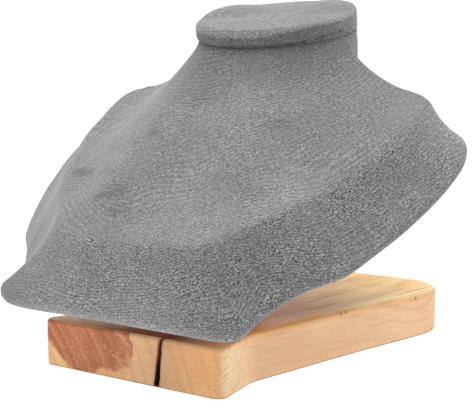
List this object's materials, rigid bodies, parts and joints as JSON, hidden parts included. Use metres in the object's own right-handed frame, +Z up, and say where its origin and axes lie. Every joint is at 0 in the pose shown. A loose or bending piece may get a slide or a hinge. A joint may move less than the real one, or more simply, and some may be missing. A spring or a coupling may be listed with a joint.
{
  "type": "necklace display stand",
  "caption": "Low chest-and-neck bust in a grey microsuede cover, leaning back on a solid wooden slab, for showing a necklace.",
  "frame": {"origin": "on the underside of the wooden slab, under the middle of its depth, in the bust's plane of symmetry", "axes": "X across, to the right as seen from the front; -Y the front, where the chest faces; +Z up"},
  "size_m": [0.2444, 0.2303, 0.1805],
  "materials": {
    "wood": "sanded bare softwood, growth rings on the end grain, dry crack at the front",
    "block_wood": "sawn softwood",
    "board": "plain fibreboard",
    "core": "moulded rigid foam",
    "microsuede": "grey microsuede with a short nap and a soft sheen",
    "steel": "zinc-plated screws"
  },
  "bodies": {
    "root": {"wood_base": "wood", "riser_block": "block_wood", "base_screws": "steel", "under_board": "board", "board_screws": "steel", "bust_core": "core", "bust_cover": "microsuede", "neck_plate": "board", "plate_cover": "microsuede"}
  },
  "joints": []
}
